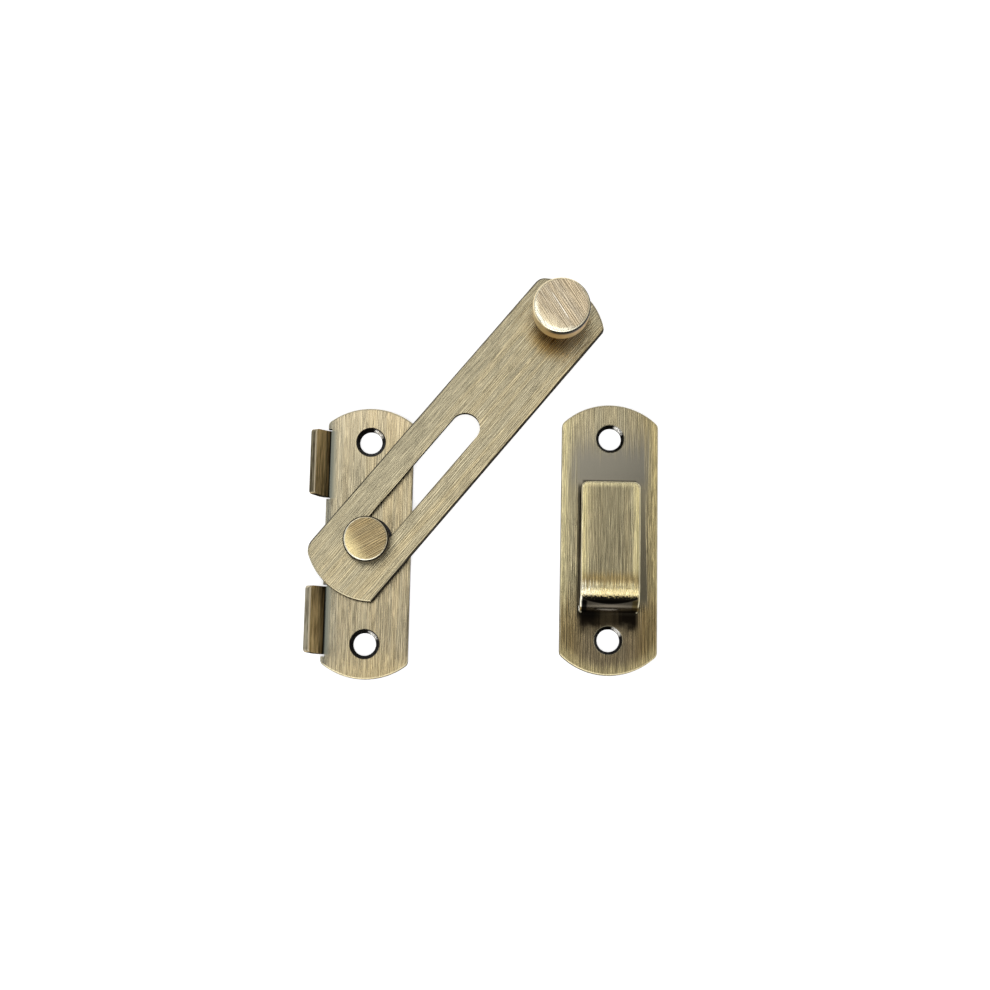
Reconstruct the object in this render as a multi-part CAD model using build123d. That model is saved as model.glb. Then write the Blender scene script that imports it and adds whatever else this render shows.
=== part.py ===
from build123d import *
from math import cos, radians, sin, sqrt
import os

# Gate bolt, made in two pieces that are screwed to a gate and its post.
# On the left is a base plate with two bent ears and a slotted bar that turns and slides on a stud.
# On the right is a strike plate with a bent hook, which the bar drops into.
# Frame: origin on the stud's axis at the back of the base plate, +X towards the strike plate,
# +Y up along both plates, +Z away from the wood. Millimetres throughout.

# Sheet and plates
SHEET = 1.8                      # thickness of every sheet piece
PLATE_LENGTH = 70.0
BASE_WIDTH = 22.2
STRIKE_WIDTH = 24.9
END_RADIUS = 17.5                # the rounded ends of both plates
CORNER_RADIUS = 1.4              # where an end arc meets a straight side
STRIKE_CORNER_RADIUS = 1.8       # the same on the strike plate
EDGE_ROUND = 0.45                # the brushed top edges
STRIKE_X = 61.9                 # centre of the strike plate
STRIKE_Y = 2.2

# Screw holes, the same in both plates
HOLE_SPACING = 52.2
HOLE_DIAMETER = 5.8
SINK_DIAMETER = 7.6

# Bar
BAR_WIDTH = 22.0
BAR_TAIL = 14.95                 # from the stud to the middle of the tail's end
BAR_TAIL_RADIUS = 17.5
BAR_HEAD_RADIUS = 16.5
BAR_CORNERS = (1.4, 3.0, 4.0, 0.6)   # head right, head left, tail left, tail right
BAR_REACH = 85.9                 # from the stud to the tip of the head
BAR_ANGLE = 51.0                 # at rest, above the line of the two plates
SLOT_WIDTH = 7.7
SLOT_TRAVEL = 38.6               # from one slot centre to the other

# Stud, washer and their clearances
SLOT_CLEARANCE = 0.10            # on each side of the shank in the slot
WASHER_CLEARANCE = 0.05          # on each side of the shank in the washer
AXIAL_CLEARANCE = 0.05           # above and below the washer, and under the button
WASHER_DIAMETER = 13.0
WASHER_SHEET = 0.5
BUTTON_DIAMETER = 11.7
BUTTON_HEIGHT = 5.0
BUTTON_ROUND = 0.7
TAIL_DIAMETER = 5.6              # the riveted tail through the base plate
TAIL_HEAD_DIAMETER = 7.6
STUD_SHANK = SLOT_WIDTH - 2 * SLOT_CLEARANCE

# Heights that follow from the stack
BAR_BOTTOM = SHEET + WASHER_SHEET + 2 * AXIAL_CLEARANCE
BAR_TOP = BAR_BOTTOM + SHEET
BUTTON_BOTTOM = BAR_TOP + AXIAL_CLEARANCE

# Knob
KNOB_DISTANCE = 76.95            # from the stud along the bar
KNOB_DIAMETER = 14.7
KNOB_HEAD = 6.7
KNOB_NECK_DIAMETER = 8.0
KNOB_NECK = 5.3
KNOB_ROUND = 0.75
KNOB_TAIL_DIAMETER = 5.0

# Ears of the base plate
EAR_NEAR = 11.6                  # distance of each ear's two ends from the middle
EAR_FAR = 28.8
EAR_INSET = 1.0                  # the bend starts this far inside the plate's edge
EAR_REACH = 2.5                  # the tip's inner corner stands this far outside it
EAR_BEND_X = EAR_INSET - BASE_WIDTH / 2
EAR_TIP_X = -EAR_REACH - BASE_WIDTH / 2
EAR_BEND_RADIUS = 1.3
EAR_FLARE = 32.0                 # from upright
EAR_TAPER = 0.2                  # each end of the tip stands back by this much
EAR_CORNER = 0.9
RELIEF = 0.6                     # the cut at each end of a bend

# Hook of the strike plate
HOOK_WIDTH = 15.2
HOOK_TOP = 8.4
HOOK_BEND_RADIUS = 6.6           # outside
HOOK_FRONT = -19.25               # front face, from the middle of the strike plate
HOOK_END = 13.9                  # free end
HOOK_CORNER = 2.0
HOOK_ROUND = 0.6                 # its outer edges
HOOK_TENON = 11.0
HOOK_NOTCH = 0.85                # radius of the cut at each side just above the plate


def rounded(face, rounds):
    """Round each named corner of a face by its own radius."""
    for (x, y), radius in rounds:
        place = Vector(x, y)
        near = sorted(face.vertices(), key=lambda v: (Vector(v.X, v.Y) - place).length)[0]
        face = fillet(near, radius)
    return face


def strip_outline(width, low, high, low_radius, high_radius, corners):
    """A straight strip along Y with an arc at each end; corners run from the high right round to the low right."""
    half = width / 2
    high_side = high - (high_radius - sqrt(high_radius**2 - half**2))
    low_side = low + (low_radius - sqrt(low_radius**2 - half**2))
    outline = Curve() + [
        ThreePointArc((half, high_side), (0, high), (-half, high_side)),
        Line((-half, high_side), (-half, low_side)),
        ThreePointArc((-half, low_side), (0, low), (half, low_side)),
        Line((half, low_side), (half, high_side)),
    ]
    places = [(half, high_side), (-half, high_side), (-half, low_side), (half, low_side)]
    return rounded(make_face(outline.edges()), zip(places, corners))


def round_top(solid, radius):
    """Round the outer top edge, as brushing leaves it."""
    top = solid.faces().sort_by(Axis.Z)[-1]
    return fillet(top.outer_wire().edges(), radius)


def screw_holes():
    """The two countersunk screw holes of a plate, as a cutting solid."""
    sink = (SINK_DIAMETER - HOLE_DIAMETER) / 2
    cutter = Part()
    for side in (1, -1):
        at = Pos(0, side * HOLE_SPACING / 2, 0)
        cutter += at * Pos(0, 0, SHEET / 2) * Cylinder(HOLE_DIAMETER / 2, 2 * SHEET)
        cutter += at * Pos(0, 0, SHEET - sink / 2) * Cone(HOLE_DIAMETER / 2, SINK_DIAMETER / 2, sink)
    return cutter


def ear(side):
    """One ear, bent up from the left edge of the base plate and flared outwards."""
    turn = radians(90 - EAR_FLARE)
    centre = (EAR_BEND_X, SHEET + EAR_BEND_RADIUS)
    outer = EAR_BEND_RADIUS + SHEET

    def on_arc(radius, angle):
        return (centre[0] - radius * sin(angle), centre[1] - radius * cos(angle))

    inner_end = on_arc(EAR_BEND_RADIUS, turn)
    outer_end = on_arc(outer, turn)
    run = (inner_end[0] - EAR_TIP_X) / cos(turn)
    step = (-run * cos(turn), run * sin(turn))
    inner_tip = (inner_end[0] + step[0], inner_end[1] + step[1])
    outer_tip = (outer_end[0] + step[0], outer_end[1] + step[1])
    profile = Curve() + [
        Line((EAR_BEND_X, 0), (EAR_BEND_X, SHEET)),
        ThreePointArc((EAR_BEND_X, SHEET), on_arc(EAR_BEND_RADIUS, turn / 2), inner_end),
        Line(inner_end, inner_tip),
        Line(inner_tip, outer_tip),
        Line(outer_tip, outer_end),
        ThreePointArc(outer_end, on_arc(outer, turn / 2), (EAR_BEND_X, 0)),
    ]
    length = EAR_FAR - EAR_NEAR
    sheet = extrude(Plane.XZ * make_face(profile.edges()), amount=length / 2, both=True)
    # the blank that the ear was cut from, seen square to its straight part
    tall = run + 2 * EAR_BEND_RADIUS
    blank = Polyline(
        (-length / 2, 0), (length / 2, 0), (length / 2, tall - run), (length / 2 - EAR_TAPER, tall),
        (-length / 2 + EAR_TAPER, tall), (-length / 2, tall - run), close=True)
    shape = make_face(blank.edges())
    shape = fillet(shape.vertices().sort_by(Axis.Y)[-2:], EAR_CORNER)
    lift = Plane(
        origin=(inner_tip[0] + tall * cos(turn), 0, inner_tip[1] - tall * sin(turn)),
        x_dir=(0, 1, 0), z_dir=(sin(turn), 0, cos(turn)))
    trimmer = extrude(lift * shape, amount=4 * SHEET, both=True)
    straight_only = Pos(EAR_BEND_X, 0, 0) * Box(
        6 * SHEET, 2 * length, 3 * SHEET, align=(Align.CENTER, Align.CENTER, Align.CENTER))
    kept = (sheet & trimmer) + (sheet & straight_only)
    return Pos(0, side * (EAR_NEAR + EAR_FAR) / 2, 0) * kept


def base_plate():
    """Plate with two ears, two screw holes and the hole for the stud's tail."""
    half = PLATE_LENGTH / 2
    plate = extrude(
        strip_outline(BASE_WIDTH, -half, half, END_RADIUS, END_RADIUS, 4 * (CORNER_RADIUS,)), amount=SHEET)
    plate = round_top(plate, EDGE_ROUND)
    edge = -BASE_WIDTH / 2
    for side in (1, -1):
        middle = side * (EAR_NEAR + EAR_FAR) / 2
        length = EAR_FAR - EAR_NEAR + 2 * RELIEF
        plate -= Pos(edge, middle, SHEET / 2) * Box(2 * (EAR_BEND_X - edge), length, 2 * SHEET)
        plate += ear(side)
    plate -= screw_holes()
    plate -= tail_hole()
    return plate


def tail_hole():
    """Hole for the stud's tail, opened out at the back where the tail is spread."""
    flare = (TAIL_HEAD_DIAMETER - TAIL_DIAMETER) / 2
    hole = Pos(0, 0, SHEET / 2) * Cylinder(TAIL_DIAMETER / 2, 2 * SHEET)
    return hole + Pos(0, 0, flare / 2) * Cone(TAIL_HEAD_DIAMETER / 2, TAIL_DIAMETER / 2, flare)


def turned(points, rounds):
    """A turned piece from its half profile, with the named corners rounded."""
    outline = Polyline(*points, close=True)
    return revolve(Plane.XZ * rounded(make_face(outline.edges()), rounds), Axis.Z)


def pivot_stud():
    """Stud with a thick button, a shank in the bar's slot and a tail riveted into the plate."""
    flare = (TAIL_HEAD_DIAMETER - TAIL_DIAMETER) / 2
    top = BUTTON_BOTTOM + BUTTON_HEIGHT
    points = [
        (0, 0), (TAIL_HEAD_DIAMETER / 2, 0), (TAIL_DIAMETER / 2, flare), (TAIL_DIAMETER / 2, SHEET),
        (STUD_SHANK / 2, SHEET), (STUD_SHANK / 2, BUTTON_BOTTOM), (BUTTON_DIAMETER / 2, BUTTON_BOTTOM),
        (BUTTON_DIAMETER / 2, top), (0, top)]
    rounds = [((BUTTON_DIAMETER / 2, top), BUTTON_ROUND), ((BUTTON_DIAMETER / 2, BUTTON_BOTTOM), 0.25)]
    return turned(points, rounds)


def pivot_washer():
    """Thin washer that keeps the bar off the base plate."""
    bore = STUD_SHANK / 2 + WASHER_CLEARANCE
    disc = Cylinder(WASHER_DIAMETER / 2, WASHER_SHEET) - Cylinder(bore, 2 * WASHER_SHEET)
    return Pos(0, 0, SHEET + AXIAL_CLEARANCE + WASHER_SHEET / 2) * disc


def on_bar(solid):
    """Turn a piece drawn along +Y onto the bar's direction at rest."""
    return Rot(0, 0, BAR_ANGLE - 90) * solid


def latch_arm():
    """Slotted bar with arched ends and the hole for the knob's tail."""
    blank = extrude(
        strip_outline(BAR_WIDTH, -BAR_TAIL, BAR_REACH, BAR_TAIL_RADIUS, BAR_HEAD_RADIUS, BAR_CORNERS),
        amount=SHEET)
    bar = round_top(blank, EDGE_ROUND)
    slot = Pos(0, SLOT_TRAVEL / 2, 0) * Rot(0, 0, 90) * SlotCenterToCenter(SLOT_TRAVEL, SLOT_WIDTH)
    bar -= Pos(0, 0, -SHEET) * extrude(slot, amount=3 * SHEET)
    bar -= Pos(0, KNOB_DISTANCE, SHEET / 2) * Cylinder(KNOB_TAIL_DIAMETER / 2, 2 * SHEET)
    return on_bar(Pos(0, 0, BAR_BOTTOM) * bar)


def arm_knob():
    """Turned knob on a neck, with its tail riveted through the bar."""
    neck_top = BAR_TOP + KNOB_NECK
    top = neck_top + KNOB_HEAD
    points = [
        (0, BAR_BOTTOM), (KNOB_TAIL_DIAMETER / 2, BAR_BOTTOM), (KNOB_TAIL_DIAMETER / 2, BAR_TOP),
        (KNOB_NECK_DIAMETER / 2, BAR_TOP), (KNOB_NECK_DIAMETER / 2, neck_top),
        (KNOB_DIAMETER / 2, neck_top), (KNOB_DIAMETER / 2, top), (0, top)]
    rounds = [((KNOB_DIAMETER / 2, top), KNOB_ROUND), ((KNOB_DIAMETER / 2, neck_top), KNOB_ROUND)]
    return on_bar(Pos(0, KNOB_DISTANCE, 0) * turned(points, rounds))


def strike_plate():
    """Plate with two screw holes and the slot for the hook's tenon."""
    half = PLATE_LENGTH / 2
    plate = extrude(
        strip_outline(STRIKE_WIDTH, -half, half, END_RADIUS, END_RADIUS, 4 * (STRIKE_CORNER_RADIUS,)),
        amount=SHEET)
    plate = round_top(plate, EDGE_ROUND)
    plate -= screw_holes()
    plate -= Pos(0, HOOK_FRONT + SHEET / 2, SHEET / 2) * Box(HOOK_TENON, SHEET, 2 * SHEET)
    return Pos(STRIKE_X, STRIKE_Y, 0) * plate


def strike_hook():
    """Hook bent from a strip, open at the top and sides, with its tenon riveted into the plate."""
    centre = (HOOK_FRONT + HOOK_BEND_RADIUS, HOOK_TOP - HOOK_BEND_RADIUS)
    inside = HOOK_BEND_RADIUS - SHEET
    slant = sqrt(0.5)
    profile = Curve() + [
        Line((HOOK_FRONT, 0), (HOOK_FRONT, centre[1])),
        ThreePointArc(
            (HOOK_FRONT, centre[1]),
            (centre[0] - HOOK_BEND_RADIUS * slant, centre[1] + HOOK_BEND_RADIUS * slant),
            (centre[0], HOOK_TOP)),
        Line((centre[0], HOOK_TOP), (HOOK_END, HOOK_TOP)),
        Line((HOOK_END, HOOK_TOP), (HOOK_END, HOOK_TOP - SHEET)),
        Line((HOOK_END, HOOK_TOP - SHEET), (centre[0], HOOK_TOP - SHEET)),
        ThreePointArc(
            (centre[0], HOOK_TOP - SHEET),
            (centre[0] - inside * slant, centre[1] + inside * slant),
            (HOOK_FRONT + SHEET, centre[1])),
        Line((HOOK_FRONT + SHEET, centre[1]), (HOOK_FRONT + SHEET, 0)),
        Line((HOOK_FRONT + SHEET, 0), (HOOK_FRONT, 0)),
    ]
    hook = extrude(Plane.YZ * make_face(profile.edges()), amount=HOOK_WIDTH / 2, both=True)
    # rounded corners of the free end
    reach = HOOK_END - HOOK_FRONT
    plan = Rectangle(HOOK_WIDTH, reach)
    plan = fillet(plan.vertices().sort_by(Axis.Y)[-2:], HOOK_CORNER)
    hook &= extrude(Pos(0, HOOK_FRONT + reach / 2, 0) * plan, amount=HOOK_TOP)
    def on_outside(edge):
        """True for the edges round the hook's outer face, apart from its bend lines."""
        at = edge.center()
        middle = edge @ 0.5
        across = abs(at.Z - HOOK_TOP) < 1e-3 and abs(at.Y - centre[0]) > 1e-3
        away = sqrt((middle.Y - centre[0])**2 + (middle.Z - centre[1])**2)
        bend = abs(away - HOOK_BEND_RADIUS) < 1e-3 and abs(abs(at.X) - HOOK_WIDTH / 2) < 1e-3
        return across or bend and abs(at.Z - centre[1]) > 1e-3

    hook = fillet(hook.edges().filter_by(on_outside), HOOK_ROUND)
    for side in (1, -1):
        # shoulders that stand on the plate beside the tenon, and a cut above each
        shoulder = (HOOK_WIDTH - HOOK_TENON) / 2
        hook -= Pos(side * (HOOK_TENON + shoulder) / 2, HOOK_FRONT, 0) * Box(
            shoulder, 4 * SHEET, 2 * SHEET)
        notch = Rot(90, 0, 0) * Cylinder(HOOK_NOTCH, 6 * SHEET)
        hook -= Pos(side * HOOK_WIDTH / 2, HOOK_FRONT, SHEET + 1.6 * HOOK_NOTCH) * notch
    return Pos(STRIKE_X, STRIKE_Y, 0) * hook


NODES = {
    "base_plate": base_plate,
    "pivot_stud": pivot_stud,
    "pivot_washer": pivot_washer,
    "latch_arm": latch_arm,
    "arm_knob": arm_knob,
    "strike_plate": strike_plate,
    "strike_hook": strike_hook,
}

os.makedirs("parts", exist_ok=True)
for name, make in NODES.items():
    export_step(make(), f"parts/{name}.step")
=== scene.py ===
"""Gate bolt in brushed antique brass: finishes, floor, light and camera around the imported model."""

import logging
import math
from dataclasses import dataclass
from enum import Enum

import bpy
from mathutils import Matrix, Vector


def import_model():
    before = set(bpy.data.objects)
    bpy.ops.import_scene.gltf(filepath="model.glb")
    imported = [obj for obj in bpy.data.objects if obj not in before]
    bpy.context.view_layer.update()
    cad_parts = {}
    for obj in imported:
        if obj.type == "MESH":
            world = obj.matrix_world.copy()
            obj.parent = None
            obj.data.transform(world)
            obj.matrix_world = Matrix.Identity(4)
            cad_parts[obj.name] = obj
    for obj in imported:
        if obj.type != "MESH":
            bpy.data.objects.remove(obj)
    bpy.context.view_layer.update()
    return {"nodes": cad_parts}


LOG = logging.getLogger("gate_bolt")

Socket = bpy.types.NodeSocket
Colour = tuple[float, float, float]
Point = tuple[float, float, float]
Span = tuple[float, float]
Zone = tuple[Span, Span]
Tones = tuple[Colour, Colour]

ORIGIN: Point = (0.0, 0.0, 0.0)
KNOB_DISTANCE = 0.07695
STRIKE_CENTRE: Point = (0.0619, 0.0022, 0.0)
# A soft change of tone across a piece's middle line, in metres.
MIDDLE: Span = (-0.001, 0.001)
# How much rougher the height 1 of the brush lines is than the height 0, and how deep it is in metres.
LINE_ROUGHNESS = 0.12
LINE_DEPTH = 0.00003
# Specular level of a surface that isn't metal.
PLAIN_SPECULAR = 0.5
# Keeps a divisor away from zero.
SMALLEST = 0.0001


class Grain(Enum):
    """Direction of the brushing in degrees from +X, seen from the front."""

    ALONG_PLATES = 90.0
    ALONG_BAR = 51.0
    ACROSS_BUTTON = 31.0
    ACROSS_KNOB = -57.0


def srgb(red: int, green: int, blue: int) -> Colour:
    """Turn a screen colour into the linear one that the shaders use.

    Args:
        red: Red from 0 to 255.
        green: Green from 0 to 255.
        blue: Blue from 0 to 255.

    Returns:
        The linear colour.
    """

    def linear(value: int) -> float:
        part = value / 255
        return part / 12.92 if part <= 0.04045 else ((part + 0.055) / 1.055) ** 2.4

    return (linear(red), linear(green), linear(blue))


WHITE = srgb(255, 255, 255)


@dataclass(frozen=True)
class Tint:
    """A colour, and how much of what lies below it covers."""

    colour: Colour
    cover: float = 1.0


class Graph:
    """Short calls for building a material's node tree."""

    def __init__(self, name: str) -> None:
        """Start an empty material with its output.

        Args:
            name: The material's name.
        """
        self.material = bpy.data.materials.new(name)
        self.material.use_nodes = True
        self.tree = self.material.node_tree
        self.tree.nodes.clear()
        self.output = self.tree.nodes.new("ShaderNodeOutputMaterial")
        self.coordinates = self.tree.nodes.new("ShaderNodeTexCoord")

    def link(self, source: Socket, target: Socket) -> None:
        """Join two sockets."""
        self.tree.links.new(source, target)

    def put(self, target: Socket, value: object) -> None:
        """Give a socket a number, a colour or a link.

        Args:
            target: The input socket.
            value: A socket to link, or a plain value.
        """
        if isinstance(value, Socket):
            self.link(value, target)
        elif isinstance(value, tuple) and len(value) == 3 and target.type == "RGBA":
            target.default_value = (*value, 1.0)
        else:
            target.default_value = value

    def math(self, operation: str, *values: object, clamp: bool = False) -> Socket:
        """Add a Math node.

        Args:
            operation: The node's operation.
            values: Its inputs in order.
            clamp: Whether the result stays between 0 and 1.

        Returns:
            The result socket.
        """
        node = self.tree.nodes.new("ShaderNodeMath")
        node.operation = operation
        node.use_clamp = clamp
        for slot, value in zip(node.inputs, values):
            self.put(slot, value)
        return node.outputs[0]

    def product(self, first: object, *rest: object) -> Socket:
        """Return the first value times all the rest."""
        for value in rest:
            first = self.math("MULTIPLY", first, value)
        return first

    def shifted(self, value: object, amount: object, by: float) -> Socket:
        """Return a value plus a share of the amount that shifts it."""
        return self.math("ADD", value, self.product(amount, by))

    def distance(self, x: object, y: object) -> Socket:
        """Return how far a point of the plane lies from where x and y are 0."""
        return self.math("SQRT", self.math("ADD", self.math("POWER", x, 2.0), self.math("POWER", y, 2.0)))

    def ramp(self, value: object, low: float, high: float) -> Socket:
        """Map low to 0 and high to 1 with soft ends.

        Args:
            value: The socket to map.
            low: Where the result is 0.
            high: Where the result is 1.

        Returns:
            The mapped socket.
        """
        node = self.tree.nodes.new("ShaderNodeMapRange")
        node.interpolation_type = "SMOOTHSTEP"
        self.put(node.inputs["Value"], value)
        self.put(node.inputs["From Min"], low)
        self.put(node.inputs["From Max"], high)
        return node.outputs["Result"]

    def within(self, value: object, first: Span, second: Span) -> Socket:
        """Map a zone to 1 and all outside it to 0.

        Args:
            value: The socket to map.
            first: One soft end of the zone, from outside to inside.
            second: The other soft end, from outside to inside.

        Returns:
            The mapped socket.
        """
        return self.product(self.ramp(value, *first), self.ramp(value, *second))

    def mix(self, amount: object, first: object, second: object, blend: str = "MIX") -> Socket:
        """Mix two colours.

        Args:
            amount: Share of the second colour.
            first: First colour.
            second: Second colour.
            blend: The node's blend type.

        Returns:
            The colour socket.
        """
        node = self.tree.nodes.new("ShaderNodeMix")
        node.data_type = "RGBA"
        node.blend_type = blend
        self.put(node.inputs["Factor"], amount)
        self.put(node.inputs["A"], first)
        self.put(node.inputs["B"], second)
        return node.outputs["Result"]

    def lay(self, colour: object, share: object, tint: Tint) -> Socket:
        """Cover a colour with a tint.

        Args:
            colour: The colour so far.
            share: Where the tint lies, from 0 to 1.
            tint: The tint.

        Returns:
            The colour socket.
        """
        return self.mix(self.product(share, tint.cover), colour, tint.colour)

    def stain(self, colour: object, share: object, tint: Tint) -> Socket:
        """Darken a colour as if it were seen through a tint, with the arguments of lay."""
        return self.mix(self.product(share, tint.cover), colour, self.mix(1.0, colour, tint.colour, "MULTIPLY"))

    def stops(self, value: object, low: float, high: float,
              colours: tuple[tuple[float, Colour], ...]) -> Socket:
        """Colour a value by stops between two ends.

        Args:
            value: The socket to colour.
            low: The value at the first end.
            high: The value at the last end.
            colours: Places from 0 to 1 with their colours.

        Returns:
            The colour socket.
        """
        node = self.tree.nodes.new("ShaderNodeValToRGB")
        node.color_ramp.interpolation = "EASE"
        while len(node.color_ramp.elements) < len(colours):
            node.color_ramp.elements.new(1.0)
        for stop, (place, colour) in zip(node.color_ramp.elements, colours):
            stop.position = place
            stop.color = (*colour, 1.0)
        share = self.math("DIVIDE", self.math("SUBTRACT", value, low), high - low, clamp=True)
        self.link(share, node.inputs[0])
        return node.outputs[0]

    def split(self, vector: Socket) -> tuple[Socket, ...]:
        """Return the three parts of a vector."""
        node = self.tree.nodes.new("ShaderNodeSeparateXYZ")
        self.link(vector, node.inputs[0])
        return tuple(node.outputs)

    def join(self, x: object, y: object, z: object) -> Socket:
        """Return a vector made of three parts."""
        node = self.tree.nodes.new("ShaderNodeCombineXYZ")
        for slot, value in zip(node.inputs, (x, y, z)):
            self.put(slot, value)
        return node.outputs[0]

    def noise(self, vector: Socket, scale: float, detail: float = 2.0,
              roughness: float = 0.5) -> Socket:
        """Add a three dimensional noise.

        Args:
            vector: Where it is read.
            scale: Its scale.
            detail: Its octaves.
            roughness: How strong the fine octaves are.

        Returns:
            The noise value, about 0.5 on average.
        """
        node = self.tree.nodes.new("ShaderNodeTexNoise")
        node.noise_dimensions = "3D"
        self.link(vector, node.inputs["Vector"])
        node.inputs["Scale"].default_value = scale
        node.inputs["Detail"].default_value = detail
        node.inputs["Roughness"].default_value = roughness
        return node.outputs["Fac"]

    def turned(self, degrees: float, centre: Point = ORIGIN) -> Socket:
        """Object coordinates turned so that a direction lies along Y.

        Args:
            degrees: The direction, from +X.
            centre: The point that becomes the origin.

        Returns:
            The turned coordinates.
        """
        node = self.tree.nodes.new("ShaderNodeMapping")
        node.vector_type = "TEXTURE"
        node.inputs["Rotation"].default_value = (0.0, 0.0, math.radians(degrees - 90.0))
        node.inputs["Location"].default_value = centre
        self.link(self.coordinates.outputs["Object"], node.inputs["Vector"])
        return node.outputs[0]

    def stretched(self, vector: Socket, across: float, along: float) -> Socket:
        """Scale turned coordinates so that noise read on them becomes brush lines.

        Args:
            vector: Coordinates with the brushing along Y.
            across: Lines per metre across the brushing.
            along: Changes per metre along it.

        Returns:
            The scaled coordinates.
        """
        node = self.tree.nodes.new("ShaderNodeMapping")
        node.vector_type = "POINT"
        node.inputs["Scale"].default_value = (across, along, across)
        self.link(vector, node.inputs["Vector"])
        return node.outputs[0]

    def streaks(self, across: float, along: float, roughness: float = 0.5) -> Socket:
        """Add loose streaks that run along the plates.

        Args:
            across: Streaks per metre across the plates.
            along: Changes per metre along them.
            roughness: How strong the fine octaves are.

        Returns:
            The streaks' value, about 0.5 on average.
        """
        place = self.stretched(self.turned(Grain.ALONG_PLATES.value), across, along)
        return self.noise(place, scale=1.0, roughness=roughness)

    def facing(self) -> tuple[Socket, ...]:
        """Return the three parts of the object's own surface normal."""
        return self.split(self.coordinates.outputs["Normal"])

    def toward(self, x: object, y: object, degrees: float) -> Socket:
        """Return how far a vector of the plane reaches in a direction, in degrees from +X."""
        angle = math.radians(degrees)
        return self.math("ADD", self.product(x, math.cos(angle)), self.product(y, math.sin(angle)))

    def outward(self, degrees: float) -> Socket:
        """Say how nearly a wall or rim is turned to a direction in the plane.

        Args:
            degrees: The direction, from +X.

        Returns:
            1 where it is turned that way, 0 where square to it and -1 where turned away.
        """
        x, y, upward = self.facing()
        level = self.math("SUBTRACT", 1.0, self.math("POWER", upward, 2.0))
        level = self.math("SQRT", self.math("MAXIMUM", level, SMALLEST))
        return self.math("DIVIDE", self.toward(x, y, degrees), level)

    def direction(self, degrees: float) -> Socket:
        """Return a direction of the piece's plane, in degrees from +X, that turns with the piece."""
        angle = math.radians(degrees)
        node = self.tree.nodes.new("ShaderNodeVectorTransform")
        node.vector_type = "VECTOR"
        node.convert_from = "OBJECT"
        node.convert_to = "WORLD"
        self.link(self.join(math.cos(angle), math.sin(angle), 0.0), node.inputs[0])
        return node.outputs[0]

    def finish(self, colour: object, rough: object, height: object, depth: float,
               tangent: object = None, anisotropic: float = 0.0, metallic: object = 1.0) -> bpy.types.Material:
        """Close the tree with one shader.

        Args:
            colour: Base colour.
            rough: Roughness.
            height: Height of the surface lines.
            depth: How deep a height of 1 is, in metres.
            tangent: Direction of the brushing, or None.
            anisotropic: Strength of the stretched highlight.
            metallic: 1 for bare brass, 0 for plastic and for dull sheared walls.

        Returns:
            The finished material.
        """
        shader = self.tree.nodes.new("ShaderNodeBsdfPrincipled")
        self.put(shader.inputs["Metallic"], metallic)
        if isinstance(metallic, Socket):
            self.put(shader.inputs["Specular IOR Level"], self.product(metallic, PLAIN_SPECULAR))
        self.put(shader.inputs["Base Color"], colour)
        self.put(shader.inputs["Roughness"], rough)
        if tangent is not None:
            shader.inputs["Anisotropic"].default_value = anisotropic
            self.put(shader.inputs["Tangent"], tangent)
        bump = self.tree.nodes.new("ShaderNodeBump")
        bump.inputs["Strength"].default_value = 1.0
        bump.inputs["Distance"].default_value = depth
        self.put(bump.inputs["Height"], height)
        self.link(bump.outputs["Normal"], shader.inputs["Normal"])
        self.link(shader.outputs[0], self.output.inputs["Surface"])
        return self.material


@dataclass(frozen=True)
class Lines:
    """The brush lines of one finish."""

    colour: Socket
    height: Socket


@dataclass(frozen=True)
class Look:
    """What a piece's own marks make of its brushed face.

    colour is the colour so far, smooth is 1 where the brush didn't reach and rough adds to the roughness.
    """

    colour: Socket
    smooth: object
    rough: object = 0.0


@dataclass(frozen=True)
class Brushing:
    """How one piece is brushed, and the two tones that the lines run between.

    across and along count strokes per metre, and cloud does the same for the slow change of tone.
    """

    grain: Grain
    light: Colour
    dark: Colour
    across: float = 6400.0
    along: float = 85.0
    gap: float = 1.1
    wide: float = 0.6
    fine_strength: float = 3.6
    wide_strength: float = 0.7
    cloud: Span = (420.0, 14.0)
    cloud_fade: Span = (0.36, 0.64)
    warm: Colour = srgb(255, 250, 238)
    cool: Colour = srgb(243, 243, 240)

    def strokes(self, graph: Graph, place: Socket, scale: float) -> Socket:
        """Build one set of straight strokes, even in tone over any wider patch.

        Args:
            graph: The material's graph.
            place: Coordinates with the brushing along Y.
            scale: How many strokes there are, as a share of the fine ones.

        Returns:
            Values about 0, from one noise less its neighbours a stroke to either side.
        """
        x, y, z = graph.split(graph.stretched(place, self.across * scale, self.along * scale))
        middle, left, right = (
            graph.noise(graph.join(graph.math("ADD", x, step), y, z), scale=1.0, detail=1.0)
            for step in (0.0, -self.gap, self.gap))
        return graph.math("SUBTRACT", middle, graph.product(graph.math("ADD", left, right), 0.5))

    def lines(self, graph: Graph, centre: Point = ORIGIN) -> Lines:
        """Build the lines.

        Args:
            graph: The material's graph.
            centre: The point that the brushing is turned about.

        Returns:
            The lines' colour and height.
        """
        place = graph.turned(self.grain.value, centre)
        fine = graph.product(self.strokes(graph, place, 1.0), self.fine_strength)
        wide = graph.product(self.strokes(graph, place, self.wide), self.wide_strength)
        blend = graph.math("ADD", graph.math("ADD", fine, wide), 0.5, clamp=True)
        metal = graph.mix(blend, self.dark, self.light)
        warm = graph.mix(1.0, metal, self.warm, "MULTIPLY")
        cool = graph.mix(1.0, metal, self.cool, "MULTIPLY")
        slow = graph.noise(graph.stretched(place, *self.cloud), scale=1.0)
        return Lines(graph.mix(graph.ramp(slow, *self.cloud_fade), cool, warm), blend)


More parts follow.
